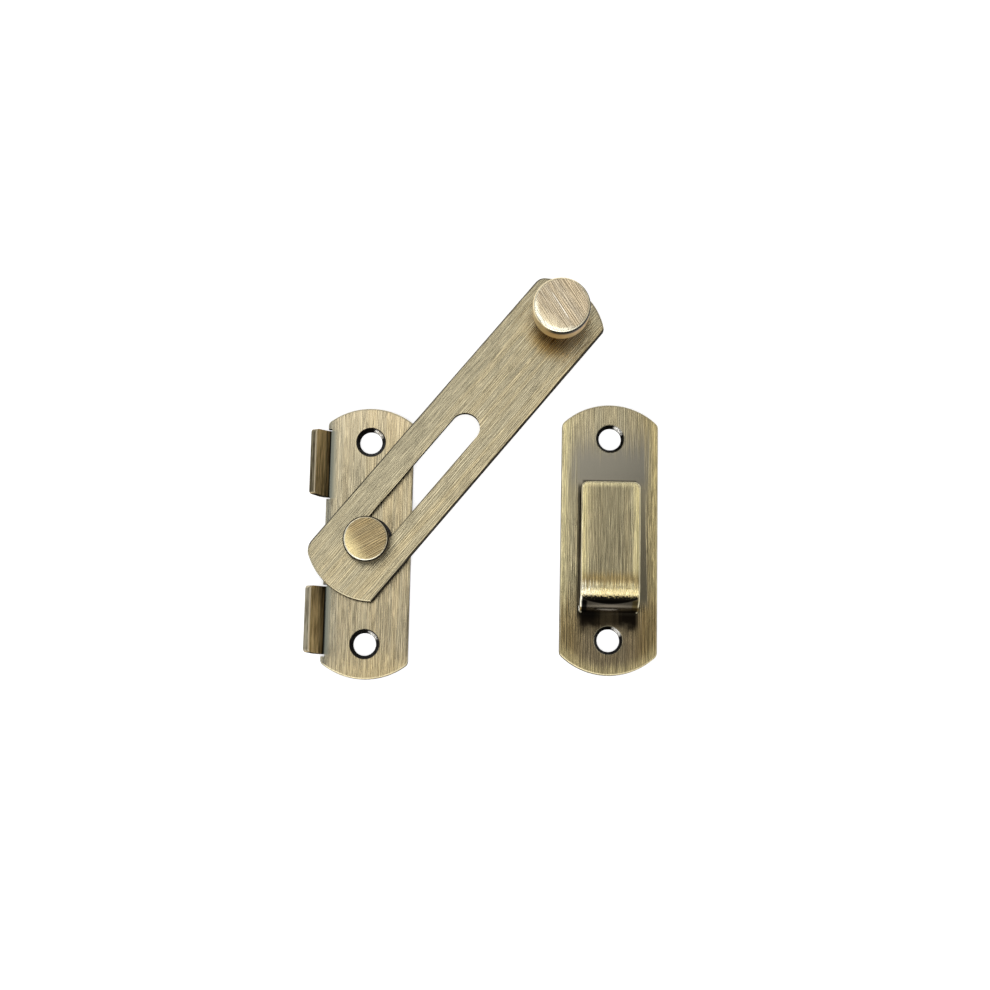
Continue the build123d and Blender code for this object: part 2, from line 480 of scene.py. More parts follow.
@dataclass
class SheetPiece:
    """A brushed sheet piece with walls painted dark as shade, a painted highlight on its rounded rim and a plain
    back.

    Spans named after a rim, a wall or an underside are values of the surface normal.
    """

    node: str
    brushing: Brushing
    centre: Point = ORIGIN
    # Near-black colour painted on the walls as shade.
    edge: Colour = srgb(34, 30, 24)
    # Painted highlight on the rounded rim.
    rim: Tint = Tint(srgb(236, 226, 192), 0.55)
    rim_start: Span = (0.60, 0.82)
    rim_end: Span = (0.93, 0.995)
    wall: Span = (0.62, 0.18)
    wall_roughness: float = 0.45
    shade: Tint = Tint(srgb(26, 22, 17), 0.0)
    shade_from: float = -39.0
    shade_reach: Span = (0.75, 0.92)
    shade_rim: Span = (0.995, 0.95)
    underside: Span = (0.35, 0.8)
    back: Tones = (srgb(132, 119, 90), srgb(112, 100, 74))
    mottle_scale: float = 260.0
    mottle: Span = (0.3, 0.7)
    roughness: float = 0.22
    anisotropic: float = 0.4

    def marks(self, graph: Graph, face: Socket) -> Look:
        """Add the piece's own marks to its brushed face: a plain sheet has none.

        Args:
            graph: The material's graph.
            face: The brushed colour.

        Returns:
            The face with its marks.
        """
        return Look(face, 0.0)

    def holes(self, graph: Graph, colour: Socket) -> Socket:
        """Paint shade into the screw holes: a plain sheet has none.

        Args:
            graph: The material's graph.
            colour: The colour so far.

        Returns:
            The colour with painted shade in the screw holes.
        """
        return colour

    def without_rim_highlight(self, graph: Graph) -> object:
        """Return 1 where no highlight is painted on the rounded rim: nowhere on a flat sheet."""
        return 0.0

    def edges(self, graph: Graph, colour: Socket) -> Socket:
        """Paint a highlight on the rounded rim and paint shade on every wall that stands square to the sheet.

        Args:
            graph: The material's graph.
            colour: The face's colour.

        Returns:
            The colour with its edges.
        """
        upward = graph.facing()[2]
        rim = graph.math("SUBTRACT", graph.ramp(upward, *self.rim_start), graph.ramp(upward, *self.rim_end))
        rim = graph.product(rim, graph.math("SUBTRACT", 1.0, self.without_rim_highlight(graph)))
        # Painted highlight on the rim, then painted shade on the walls.
        colour = graph.lay(colour, rim, self.rim)
        return graph.mix(self.walls(graph), self.shaded(graph, colour), self.edge)

    def walls(self, graph: Graph) -> Socket:
        """Return 1 on every wall that stands square to the sheet."""
        return graph.ramp(graph.math("ABSOLUTE", graph.facing()[2]), *self.wall)

    def shaded(self, graph: Graph, colour: Socket) -> Socket:
        """Darken the part of the rounded rim that is turned to the dark side.

        Args:
            graph: The material's graph.
            colour: The colour so far.

        Returns:
            The colour with its dark rim.
        """
        if not self.shade.cover:
            return colour
        away = graph.ramp(graph.outward(self.shade_from), *self.shade_reach)
        return graph.lay(colour, graph.product(away, graph.ramp(graph.facing()[2], *self.shade_rim)), self.shade)

    def material(self) -> bpy.types.Material:
        """Build and return the piece's material."""
        graph = Graph(f"brushed_{self.node}")
        lines = self.brushing.lines(graph)
        look = self.marks(graph, lines.colour)
        colour = self.holes(graph, self.edges(graph, look.colour))
        below = graph.ramp(graph.product(graph.facing()[2], -1.0), *self.underside)
        mottle = graph.noise(graph.coordinates.outputs["Object"], self.mottle_scale, detail=4.0)
        colour = graph.mix(below, colour, graph.mix(graph.ramp(mottle, *self.mottle), *self.back))
        keep = graph.math("SUBTRACT", 1.0, graph.math("MAXIMUM", look.smooth, below), clamp=True)
        height = graph.product(lines.height, keep)
        walls = self.walls(graph)
        rough = graph.shifted(self.roughness - LINE_ROUGHNESS / 2, height, LINE_ROUGHNESS)
        rough = graph.shifted(graph.math("ADD", rough, look.rough), walls, self.wall_roughness)
        bare = graph.math("SUBTRACT", 1.0, walls)
        tangent = graph.direction(self.brushing.grain.value)
        return graph.finish(colour, rough, height, LINE_DEPTH, tangent, self.anisotropic, bare)


@dataclass
class LatchArm(SheetPiece):
    """The bar, darker along its left half, with the knob's brown reflection on its face."""

    # Near-black colour painted on the bar's walls as shade.
    edge: Colour = srgb(20, 17, 13)
    shade: Tint = Tint(srgb(26, 22, 17), 0.92)
    left_half: Span = (0.002, -0.011)
    left_tint: Tint = Tint(srgb(150, 142, 118), 0.45)
    left_rim: Span = (0.70, 0.92)
    left_rim_level: Span = (0.998, 0.965)
    left_rim_shade: Tint = Tint(srgb(92, 88, 76), 0.9)
    tail_rim: Span = (0.45, 0.15)
    slot_edge: Zone = ((0.0035, 0.0038), (0.00425, 0.00400))
    slot_length: Zone = ((0.002, 0.004), (0.0385, 0.0330))
    slot_shade: Tint = Tint(srgb(26, 22, 17), 0.6)
    knob: Point = ORIGIN
    patch_offset: tuple[float, float] = (-0.0030, -0.0066)
    patch_spread: float = 0.0082
    patch_core: float = 0.25
    patch_squeeze: float = 1.5
    knob_reflection_tint: Tint = Tint(srgb(204, 176, 112), 0.70)

    def marks(self, graph: Graph, face: Socket) -> Look:
        """Add the darker left half, painted shade on the left rim and slot edge, and the knob's painted reflection.
        """
        across, along, _ = graph.split(graph.turned(Grain.ALONG_BAR.value))
        face = graph.lay(face, graph.ramp(across, *self.left_half), self.left_tint)
        # Painted shade on the rounded rim turned to the left.
        left = graph.ramp(graph.outward(Grain.ALONG_BAR.value + 90.0), *self.left_rim)
        level = graph.ramp(graph.facing()[2], *self.left_rim_level)
        face = graph.lay(face, graph.product(left, level), self.left_rim_shade)
        # Painted shade as a thin dark line along the slot's edge.
        line = graph.product(graph.within(across, *self.slot_edge), graph.within(along, *self.slot_length))
        face = graph.lay(face, line, self.slot_shade)
        # Painted reflection of the knob: a soft brown patch on the bar below it.
        middle = (self.knob[0] + self.patch_offset[0], self.knob[1] + self.patch_offset[1], 0.0)
        x, y, _ = graph.split(graph.turned(Grain.ALONG_BAR.value, middle))
        away = graph.distance(x, graph.product(y, self.patch_squeeze))
        patch = graph.ramp(away, self.patch_spread, self.patch_spread * self.patch_core)
        return Look(graph.stain(face, patch, self.knob_reflection_tint), 0.0)

    def without_rim_highlight(self, graph: Graph) -> object:
        """Return 1 everywhere but round the tail, where the rim gets its painted highlight."""
        return graph.ramp(graph.outward(Grain.ALONG_BAR.value + 180.0), *self.tail_rim)


@dataclass
class Plate(SheetPiece):
    """A screwed plate, with painted shade in a ring round each screw hole and a painted glint on its upper right."""

    hole_offset: float = 0.0261
    ring: float = 0.0039
    ring_edge: Span = (-0.00012, 0.00002)
    # Colour painted into the countersinks as shade.
    hole: Colour = srgb(16, 14, 11)
    glint: Colour = srgb(255, 252, 244)
    glint_from: float = 48.0
    glint_width: Span = (0.86, 0.93)
    glint_band: Zone = ((0.00285, 0.00300), (0.00365, 0.00350))
    glint_lines: Span = (1500.0, 9000.0)
    glint_breaks: Span = (0.36, 0.52)

    def local(self, graph: Graph) -> tuple[Socket, ...]:
        """Return coordinates measured from the plate's centre."""
        return graph.split(graph.turned(Grain.ALONG_PLATES.value, self.centre))

    def holes(self, graph: Graph, colour: Socket) -> Socket:
        """Paint shade into the countersinks, with a ragged painted glint on the upper right of each."""
        x, y, _ = self.local(graph)
        away = graph.distance(x, graph.math("SUBTRACT", graph.math("ABSOLUTE", y), self.hole_offset))
        inner, outer = self.ring_edge
        # Painted shade in each countersink, then a painted glint.
        sunk = graph.mix(graph.ramp(away, self.ring + inner, self.ring + outer), self.hole, colour)
        rise = graph.shifted(y, graph.math("SIGN", y), -self.hole_offset)
        facing = graph.ramp(graph.math("DIVIDE", graph.toward(x, rise, self.glint_from), away), *self.glint_width)
        place = graph.stretched(graph.turned(self.glint_from, self.centre), *self.glint_lines)
        streak = graph.noise(place, scale=1.0, detail=1.0)
        shine = graph.product(facing, graph.within(away, *self.glint_band), graph.ramp(streak, *self.glint_breaks))
        return graph.mix(shine, sunk, self.glint)


@dataclass
class BasePlate(Plate):
    """The left plate: warm on the right, greyer on the left, with gold-brown ears painted with shade and highlight.
    """

    root: float = -0.0101
    ears: Zone = ((0.0108, 0.0115), (0.0294, 0.0287))
    high: Span = (0.019, 0.034)
    high_tint: Tint = Tint(srgb(226, 207, 170), 0.22)
    low: Span = (-0.025, -0.034)
    low_tint: Tint = Tint(srgb(222, 200, 150), 0.50)
    left_from: float = 0.001
    left_tint: Tint = Tint(srgb(140, 140, 128), 0.34)
    border: Span = (0.0016, -0.0008)
    border_shade: Tint = Tint(srgb(82, 88, 86), 0.62)
    strip: Span = (-0.0078, -0.0100)
    strip_shade: Tint = Tint(srgb(74, 78, 72), 0.85)
    bent: Span = (-0.01036, -0.01046)
    bent_height: Span = (0.0019, 0.0034)
    bent_shading_tones: Tones = (srgb(104, 87, 55), srgb(244, 216, 158))
    bent_lines: Span = (0.36, 0.64)
    bent_line: Colour = srgb(170, 166, 156)
    bent_roughness: float = 0.22
    tip: Span = (-0.25, -0.42)
    tip_tones: Tones = (srgb(196, 187, 162), srgb(156, 146, 120))
    tip_lines: Span = (0.38, 0.60)
    tip_line: Colour = srgb(150, 146, 138)
    ridge: Span = (0.00598, 0.00612)
    ridge_highlight: Tint = Tint(srgb(236, 220, 186), 0.8)
    fold: Zone = ((-0.01030, -0.01036), (-0.01066, -0.01058))
    fold_shade: Tint = Tint(srgb(10, 10, 9))

    def without_rim_highlight(self, graph: Graph) -> object:
        """Return 1 along both ears, where the edge is a bend and not a rim."""
        return graph.within(graph.math("ABSOLUTE", self.local(graph)[1]), *self.ears)

    def marks(self, graph: Graph, face: Socket) -> Look:
        """Add the grey left side, the smooth strip by the bends in painted shade and the ears' painted shading."""
        x, y, z = self.local(graph)
        colour = graph.lay(face, graph.ramp(y, *self.high), self.high_tint)
        colour = graph.lay(colour, graph.ramp(y, *self.low), self.low_tint)
        colour = graph.lay(colour, graph.ramp(x, self.left_from, self.root), self.left_tint)
        outer, inner = self.border
        # Painted shade along the plate's left edge.
        colour = graph.lay(colour, graph.ramp(x, self.root + outer, self.root + inner), self.border_shade)
        span = self.without_rim_highlight(graph)
        strip = graph.product(graph.ramp(x, *self.strip), span)
        # Painted shade on the smooth strip where the bends start.
        colour = graph.lay(colour, strip, self.strip_shade)
        lines = graph.streaks(across=2600.0, along=150.0, roughness=0.7)
        # Painted shade on the ears: dark at the root, light towards the top.
        tone = graph.mix(graph.ramp(z, *self.bent_height), *self.bent_shading_tones)
        dull = graph.mix(1.0, tone, self.bent_line, "MULTIPLY")
        bent = graph.product(graph.ramp(x, *self.bent), span)
        colour = graph.mix(bent, colour, graph.mix(graph.ramp(lines, *self.bent_lines), dull, tone))
        sheared = graph.mix(graph.ramp(y, *MIDDLE), *self.tip_tones)
        cut = graph.mix(graph.ramp(lines, *self.tip_lines), self.tip_line, WHITE)
        tip = graph.product(graph.ramp(graph.facing()[0], *self.tip), bent)
        colour = graph.mix(tip, colour, graph.mix(1.0, sheared, cut, "MULTIPLY"))
        # Painted highlight along the ears' top corner.
        colour = graph.lay(colour, graph.product(graph.ramp(z, *self.ridge), bent), self.ridge_highlight)
        # Painted shadow in the fold at each ear's root.
        colour = graph.lay(colour, graph.product(graph.within(x, *self.fold), span), self.fold_shade)
        return Look(colour, strip, graph.product(bent, self.bent_roughness))


@dataclass
class StrikePlate(Plate):
    """The right plate: bright at its sides, smooth and grey round the hook, brown below it, with painted shadows.

    Pairs of spans are the two soft ends of a zone, and a wander is how far the brush lines jag its ends.
    """

    ring: float = 0.00366
    sides: Span = (0.0092, 0.0124)
    side_tint: Tint = Tint(srgb(214, 202, 152), 0.55)
    right: Span = (0.002, 0.010)
    right_tint: Tint = Tint(srgb(232, 226, 214))
    middle: Span = (0.0110, 0.0050)
    middle_tint: Tint = Tint(srgb(150, 140, 116), 0.50)
    field_wander: float = 0.004
    field_across: Zone = ((0.0112, 0.0086), (-0.0112, -0.0080))
    field_right: Zone = ((0.0100, 0.0090), (0.0, 0.002))
    field_flank: Zone = ((-0.0195, -0.0150), (0.0150, 0.0125))
    above_wander: float = 0.009
    above: Zone = ((0.0330, 0.0195), (0.0010, 0.0155))
    pool_patches: float = 420.0
    pool_wander: float = 0.0035
    pool_depth: Span = (-0.0256, -0.0212)
    pool_sides: Span = (0.0088, 0.0066)
    pool_top: Span = (-0.0165, -0.0185)
    pool_fade: Span = (-0.0165, -0.0200)
    pool_middle: Span = (0.0002, 0.0040)
    pool_middle_wander: float = 0.006
    pool_coating_and_shade_tones: Tones = (srgb(66, 57, 41), srgb(27, 22, 16))
    field_top: Span = (0.0110, 0.0165)
    field_tones: Tones = (srgb(117, 110, 90), srgb(105, 101, 90))
    lower: Span = (-0.0100, -0.0225)
    lower_wander: float = 0.016
    lower_cover: float = 0.85
    lower_brown_tint: Tint = Tint(srgb(176, 152, 106), 0.80)
    lower_brown_middle: Span = (0.0105, 0.0045)
    lower_brown_middle_tint: Tint = Tint(srgb(110, 100, 84), 0.60)
    end_centre: float = 0.0175
    end_rim: Span = (0.0138, 0.0172)
    end_wander: float = 0.003
    end_tint: Tint = Tint(srgb(206, 190, 140), 0.62)
    hook_side_shadow: Zone = ((-0.00835, -0.0079), (0.0, -0.004))
    hook_side_shadow_length: Zone = ((0.0148, 0.0130), (-0.0215, -0.0195))
    hook_side_shadow_tint: Tint = Tint(srgb(12, 11, 9), 0.8)
    hook_end_shadow: Zone = ((0.01535, 0.01500), (0.0128, 0.0138))
    hook_end_shadow_sides: Span = (0.0072, 0.0066)
    hook_end_shadow_tint: Tint = Tint(srgb(22, 20, 16), 0.7)

    def smooth_field(self, graph: Graph, jitter: Socket) -> Socket:
        """Return 1 on the smooth field above, beside and below the hook.

        Args:
            graph: The material's graph.
            jitter: The wander of the brush lines, about 0.

        Returns:
            The field.
        """
        x, y, _ = self.local(graph)
        reach = graph.shifted(x, jitter, self.field_wander)
        start, end = self.above
        level = graph.shifted(y, jitter, self.above_wander)
        above = graph.product(graph.ramp(level, *start), graph.ramp(y, *end))
        patch = graph.noise(graph.coordinates.outputs["Object"], self.pool_patches)
        depth = graph.shifted(y, graph.math("SUBTRACT", patch, 0.5), self.pool_wander)
        below = graph.product(
            graph.ramp(depth, *self.pool_depth), graph.ramp(graph.math("ABSOLUTE", x), *self.pool_sides),
            graph.ramp(y, *self.pool_top))
        area = graph.product(graph.within(reach, *self.field_across), graph.math("MAXIMUM", above, below))
        start, end = self.field_right
        beside = graph.product(graph.ramp(reach, *start), graph.ramp(x, *end), graph.within(y, *self.field_flank))
        return graph.math("MAXIMUM", area, beside)

    def marks(self, graph: Graph, face: Socket) -> Look:
        """Add the bright sides, brown lower end, smooth field the brush couldn't reach and painted shadows."""
        x, y, _ = self.local(graph)
        side = graph.math("ABSOLUTE", x)
        jitter = graph.math("SUBTRACT", graph.streaks(across=1400.0, along=40.0), 0.5)
        colour = graph.lay(face, graph.ramp(side, *self.sides), self.side_tint)
        colour = graph.stain(colour, graph.ramp(x, *self.right), self.right_tint)
        colour = graph.lay(colour, graph.ramp(side, *self.middle), self.middle_tint)
        lower = graph.ramp(graph.shifted(y, jitter, self.lower_wander), *self.lower)
        # Darker and browner towards the lower end.
        lower_brown = graph.mix(self.lower_brown_tint.cover, face, self.lower_brown_tint.colour, "MULTIPLY")
        lower_brown = graph.lay(lower_brown, graph.ramp(side, *self.lower_brown_middle), self.lower_brown_middle_tint)
        colour = graph.mix(graph.product(lower, self.lower_cover), colour, lower_brown)
        past = graph.math("SUBTRACT", graph.math("ABSOLUTE", y), self.end_centre)
        away = graph.distance(x, graph.math("MAXIMUM", past, 0.0))
        brightened_rim = graph.product(graph.ramp(graph.shifted(away, jitter, self.end_wander), *self.end_rim), lower)
        colour = graph.lay(colour, brightened_rim, self.end_tint)
        core = graph.ramp(graph.shifted(side, jitter, self.pool_middle_wander), *self.pool_middle)
        grey = graph.mix(graph.ramp(y, *self.field_top), *self.field_tones)
        # Painted shade of the hook on the dark unbrushed patch below its foot.
        grey = graph.mix(graph.ramp(y, *self.pool_fade), grey, graph.mix(core, *self.pool_coating_and_shade_tones))
        smooth = self.smooth_field(graph, jitter)
        colour = graph.mix(smooth, colour, grey)
        # Painted shadow along the hook's left side.
        hook_side_shadow = graph.product(graph.within(x, *self.hook_side_shadow), graph.within(y, *self.hook_side_shadow_length))
        colour = graph.lay(colour, hook_side_shadow, self.hook_side_shadow_tint)
        # Painted shadow on the plate beyond the hook's free end.
        hook_end_shadow = graph.product(graph.within(y, *self.hook_end_shadow), graph.ramp(side, *self.hook_end_shadow_sides))
        return Look(graph.lay(colour, hook_end_shadow, self.hook_end_shadow_tint), smooth)


@dataclass
class Hook(SheetPiece):
    """The bent hook: painted highlights on its sides, and painted reflection bands down its bend.

    Spans of the bands count metres down from where the bend begins.
    """

    out_rim: Zone = ((0.06, 0.34), (0.92, 0.72))
    out_wall: Span = (0.72, 0.93)
    end: float = 0.0161
    bend: float = -0.01045
    jag: float = 0.0034
    middle: Span = (0.0070, 0.0030)
    middle_tint: Tint = Tint(srgb(124, 114, 88), 0.55)
    flank: Span = (0.0048, 0.0073)
    flank_highlight: Tint = Tint(srgb(222, 207, 150), 0.68)
    tip: Span = (-0.0020, -0.0004)
    tip_highlight: Tint = Tint(srgb(226, 213, 166), 0.6)
    gold: Zone = ((-0.0042, -0.0014), (0.0008, -0.0006))
    gold_reflection: Tint = Tint(srgb(150, 128, 80), 0.75)
    bright: Span = (-0.0014, 0.0010)
    bright_left: Span = (-0.0020, -0.0070)
    bright_reflection_tones: Tones = (srgb(240, 226, 178), srgb(255, 250, 228))
    bright_lines: Span = (0.34, 0.64)
    bright_line: Colour = srgb(206, 187, 132)
    black: Span = (0.0024, 0.0028)
    black_reflection: Tint = Tint(srgb(13, 11, 8))
    arch: float = 0.0066
    dip: float = 0.0010
    shine: Span = (0.0035, 0.0038)
    shine_sides: Span = (0.0005, 0.0060)
    shine_tones: Tones = (srgb(106, 99, 87), srgb(86, 80, 69))
    smooth: Span = (0.0026, 0.0032)
    pinch: Span = (0.0054, 0.0060)
    pinch_shade_tones: Tones = (srgb(12, 11, 9), srgb(78, 68, 42))
    corner_sides: Span = (0.0069, 0.0074)
    corner_start: Span = (0.0022, 0.0032)
    corner_end: Span = (0.0052, 0.0044)
    corner_slant: float = 0.14
    corner_highlight_tones: Tones = (srgb(255, 252, 240), srgb(196, 178, 128))
    root: Span = (0.0063, 0.0066)
    root_shade: Tint = Tint(srgb(34, 29, 23))

    def outermost(self, graph: Graph) -> Socket:
        """Return how far the surface turns to a side or to the strip's end."""
        x, y, _ = graph.facing()
        return graph.math("MAXIMUM", graph.math("ABSOLUTE", x), y)

    def edges(self, graph: Graph, colour: Socket) -> Socket:
        """Paint a highlight on the rounded edges and shade on the sheared walls, leaving the bend alone."""
        colour = graph.lay(colour, graph.within(self.outermost(graph), *self.out_rim), self.rim)
        return graph.mix(self.walls(graph), colour, self.edge)

    def walls(self, graph: Graph) -> Socket:
        """Return 1 on the strip's sheared sides and end."""
        return graph.ramp(self.outermost(graph), *self.out_wall)

    def marks(self, graph: Graph, face: Socket) -> Look:
        """Add painted highlights on sides and end, then painted gold, white, black and grey bands down the bend."""
        x, y, _ = graph.split(graph.turned(Grain.ALONG_PLATES.value, (self.centre[0], 0.0, 0.0)))
        side = graph.math("ABSOLUTE", x)
        right = graph.ramp(x, *MIDDLE)
        down = graph.math("SUBTRACT", self.bend, y)
        teeth = graph.streaks(across=5600.0, along=150.0, roughness=0.6)
        ragged = graph.shifted(down, graph.math("SUBTRACT", teeth, 0.5), self.jag)
        colour = graph.lay(face, graph.ramp(side, *self.middle), self.middle_tint)
        # Painted highlights along the rounded sides.
        colour = graph.lay(colour, graph.ramp(side, *self.flank), self.flank_highlight)
        start, full = self.tip
        # Painted highlight at the free end.
        colour = graph.lay(colour, graph.ramp(y, self.end + start, self.end + full), self.tip_highlight)
        # Painted reflection bands down the bend: gold, white, black, then grey.
        colour = graph.lay(colour, graph.within(ragged, *self.gold), self.gold_reflection)
        pale = graph.mix(graph.ramp(x, *self.bright_left), *self.bright_reflection_tones)
        pale = graph.mix(graph.ramp(teeth, *self.bright_lines), self.bright_line, pale)
        colour = graph.mix(graph.ramp(ragged, *self.bright), colour, pale)
        colour = graph.lay(colour, graph.ramp(ragged, *self.black), self.black_reflection)
        arch = graph.math("POWER", graph.math("DIVIDE", side, self.arch), 2.0)
        dip = graph.product(graph.math("SUBTRACT", 1.0, arch), self.dip)
        grey = graph.ramp(graph.math("SUBTRACT", down, dip), *self.shine)
        colour = graph.mix(grey, colour, graph.mix(graph.ramp(side, *self.shine_sides), *self.shine_tones))
        # Painted shade at the two ends of the grey band.
        pinch = graph.product(graph.ramp(side, *self.pinch), grey)
        colour = graph.mix(pinch, colour, graph.mix(right, *self.pinch_shade_tones))
        # Painted highlights on the bend's rounded corners.
        ends = graph.ramp(graph.shifted(down, x, self.corner_slant), *self.corner_end)
        corner = graph.product(graph.ramp(side, *self.corner_sides), graph.ramp(down, *self.corner_start), ends)
        colour = graph.mix(corner, colour, graph.mix(right, *self.corner_highlight_tones))
        # Painted shade at the hook's root.
        colour = graph.lay(colour, graph.ramp(down, *self.root), self.root_shade)
        return Look(colour, graph.ramp(down, *self.smooth))


@dataclass
class TurnedPiece:
    """A turned piece, brushed straight across its face, with a painted rim highlight and a side in painted bands.

    heights are the ends of its side, and bands its painted light and shade from the first to the second.
    """

    node: str
    brushing: Brushing
    centre: Point
    radius: float
    heights: Span
    bands: tuple[tuple[float, Colour], ...]
    lit: Tint
    # Painted tint on the side turned to pale_from: shade on the button, light on the knob.
    pale: Tint
    lit_from: float = 215.0
    lit_reach: float = 0.15
    scratch: float = 0.0
    scratch_length: Span = (0.0046, 0.0030)
    scratch_width: Span = (0.00015, 0.00005)
    scratch_tint: Tint = Tint(srgb(255, 250, 236), 0.6)
    rim: Colour = srgb(255, 250, 226)
    rim_far: Colour = srgb(236, 222, 186)
    rim_from: float = 0.45
    rim_rise: float = 0.12
    rim_end: Span = (0.95, 0.998)
    rim_turn: Span = (-0.5, 0.7)
    # Painted highlight in a crescent inside the rim on the lit side.
    crescent: float = 0.80
    crescent_fade: float = 0.10
    crescent_turn: Span = (0.25, 0.90)
    pale_from: float = 215.0
    pale_reach: float = 0.55
    pale_fade: float = 0.4
    roughness: float = 0.24
    relief: Span = (0.7, 0.95)
    side: Span = (0.5, 0.2)
    side_roughness: float = 0.16

    def face(self, graph: Graph, lines: Lines) -> Socket:
        """Shade the brushed face from its lit side to the other.

        Args:
            graph: The material's graph.
            lines: The brush lines.

        Returns:
            The face's colour.
        """
        across, along, _ = graph.split(graph.turned(self.lit_from, self.centre))
        share = graph.ramp(graph.math("DIVIDE", along, self.radius), self.lit_reach, 1.0)
        colour = graph.lay(lines.colour, share, self.lit)
        away = graph.distance(across, along)
        near = graph.ramp(graph.math("DIVIDE", away, self.radius), self.crescent, self.crescent + self.crescent_fade)
        aimed = graph.ramp(graph.math("DIVIDE", along, graph.math("MAXIMUM", away, SMALLEST)), *self.crescent_turn)
        # Painted highlight in a crescent inside the rim.
        colour = graph.mix(graph.product(near, aimed), colour, self.rim)
        if self.scratch:
            x, y, _ = graph.split(graph.turned(self.brushing.grain.value, self.centre))
            line = graph.ramp(graph.math("ABSOLUTE", graph.math("ADD", x, self.scratch)), *self.scratch_width)
            long = graph.ramp(graph.math("ABSOLUTE", y), *self.scratch_length)
            colour = graph.lay(colour, graph.product(line, long), self.scratch_tint)
        return colour

    def material(self) -> bpy.types.Material:
        """Build and return the piece's material."""
        graph = Graph(f"turned_{self.node}")
        lines = self.brushing.lines(graph, self.centre)
        upward = graph.facing()[2]
        height = graph.split(graph.coordinates.outputs["Object"])[2]
        # Painted light and shade in bands down the side.
        side = graph.stops(height, *self.heights, self.bands)
        # Painted tint on the side turned to pale_from.
        share = graph.ramp(graph.outward(self.pale_from), self.pale_reach, self.pale_reach + self.pale_fade)
        side = graph.lay(side, share, self.pale)
        top = graph.ramp(upward, self.rim_from, self.rim_from + self.rim_rise)
        colour = graph.mix(top, side, self.face(graph, lines))
        # Painted highlight on the rim, brighter on the lit side.
        rim = graph.math("SUBTRACT", top, graph.ramp(upward, *self.rim_end))
        brightened_rim = graph.mix(graph.ramp(graph.outward(self.lit_from), *self.rim_turn), self.rim_far, self.rim)
        colour = graph.mix(rim, colour, brightened_rim)
        relief = graph.product(lines.height, graph.ramp(upward, *self.relief))
        rough = graph.shifted(self.roughness - LINE_ROUGHNESS / 2, relief, LINE_ROUGHNESS)
        walls = graph.ramp(graph.math("ABSOLUTE", upward), *self.side)
        return graph.finish(colour, graph.shifted(rough, walls, self.side_roughness), relief, LINE_DEPTH)


@dataclass
class PlainWasher:
    """The black plastic washer between the bar and the plate."""

    node: str = "pivot_washer"
    tones: Tones = (srgb(14, 13, 12), srgb(30, 28, 25))
    grain_scale: float = 900.0
    grain_detail: float = 3.0
    grain_fade: Span = (0.3, 0.7)
    grain_depth: float = 0.00001
    roughness: float = 0.55

    def material(self) -> bpy.types.Material:
        """Build and return the washer's material."""
        graph = Graph("black_washer")
        grain = graph.noise(graph.coordinates.outputs["Object"], self.grain_scale, self.grain_detail)
        colour = graph.mix(graph.ramp(grain, *self.grain_fade), *self.tones)
        return graph.finish(colour, self.roughness, grain, self.grain_depth, metallic=0.0)


@dataclass(frozen=True)
class Lamp:
    """A square lamp that is aimed at the middle of the picture."""

    name: str
    place: Point
    size: float
    power: float


